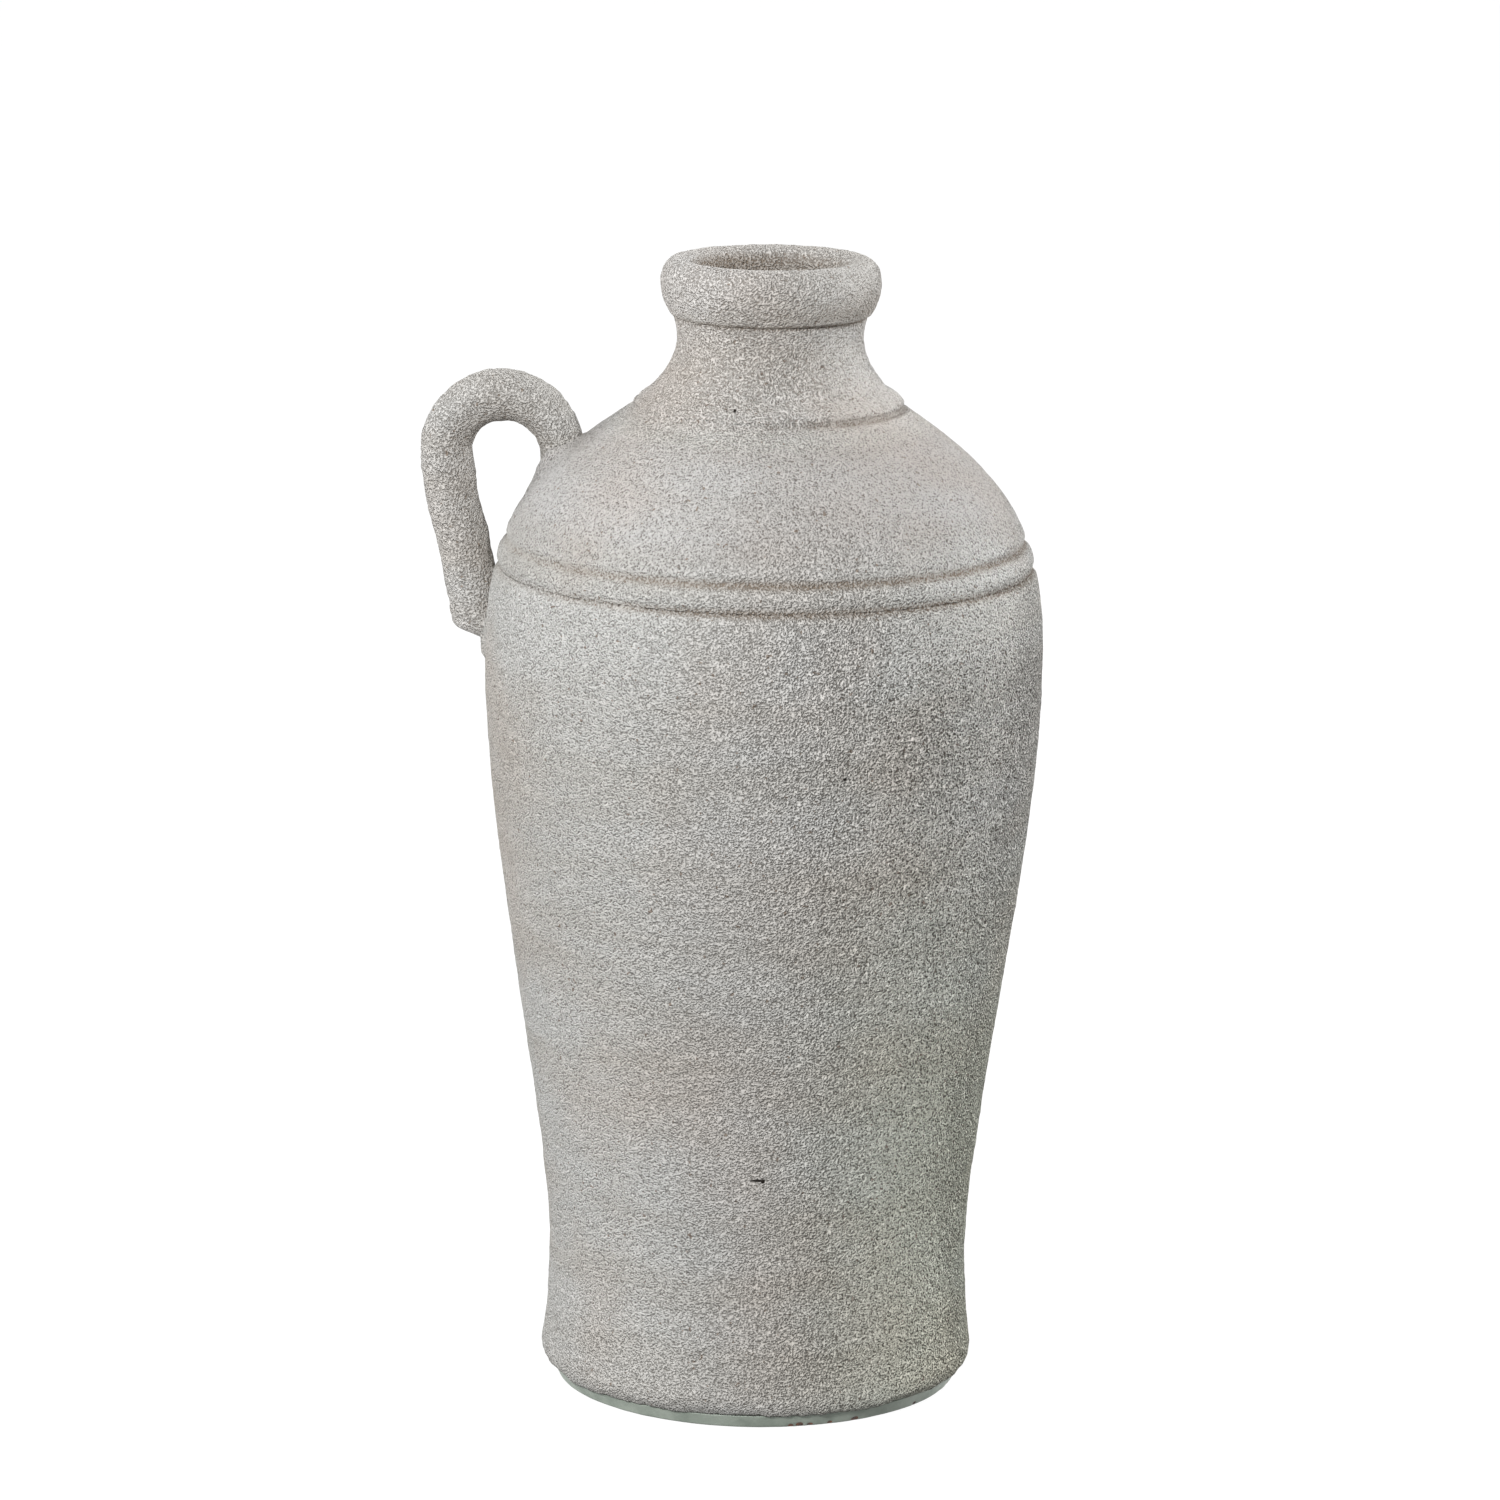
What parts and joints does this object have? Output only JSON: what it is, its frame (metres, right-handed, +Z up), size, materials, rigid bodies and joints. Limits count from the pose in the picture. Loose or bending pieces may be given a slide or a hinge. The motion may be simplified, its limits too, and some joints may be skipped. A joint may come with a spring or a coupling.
{
  "type": "lekythos",
  "caption": "Tall ceramic jug of lekythos form: swelling body on a flat foot, grooved shoulder, short neck with a thick rolled lip and a looped coil handle.",
  "frame": {"origin": "centre of the flat underside of the foot, on the jug's axis", "axes": "+Z up along the jug's axis and out of the mouth, the handle lies in the XZ plane on the -X side, +Y across the handle"},
  "size_m": [0.2245, 0.1992, 0.4091],
  "materials": {
    "grit_coat": "coarse matt sand coat, warm light grey with fine light and dark specks",
    "bare_foot": "smooth bare fired clay, cool grey with small red-brown chips"
  },
  "bodies": {
    "root": {"foot_slab": "bare_foot", "body_wall": "grit_coat", "shoulder": "grit_coat", "neck": "grit_coat", "lip": "grit_coat", "handle": "grit_coat"}
  },
  "joints": []
}
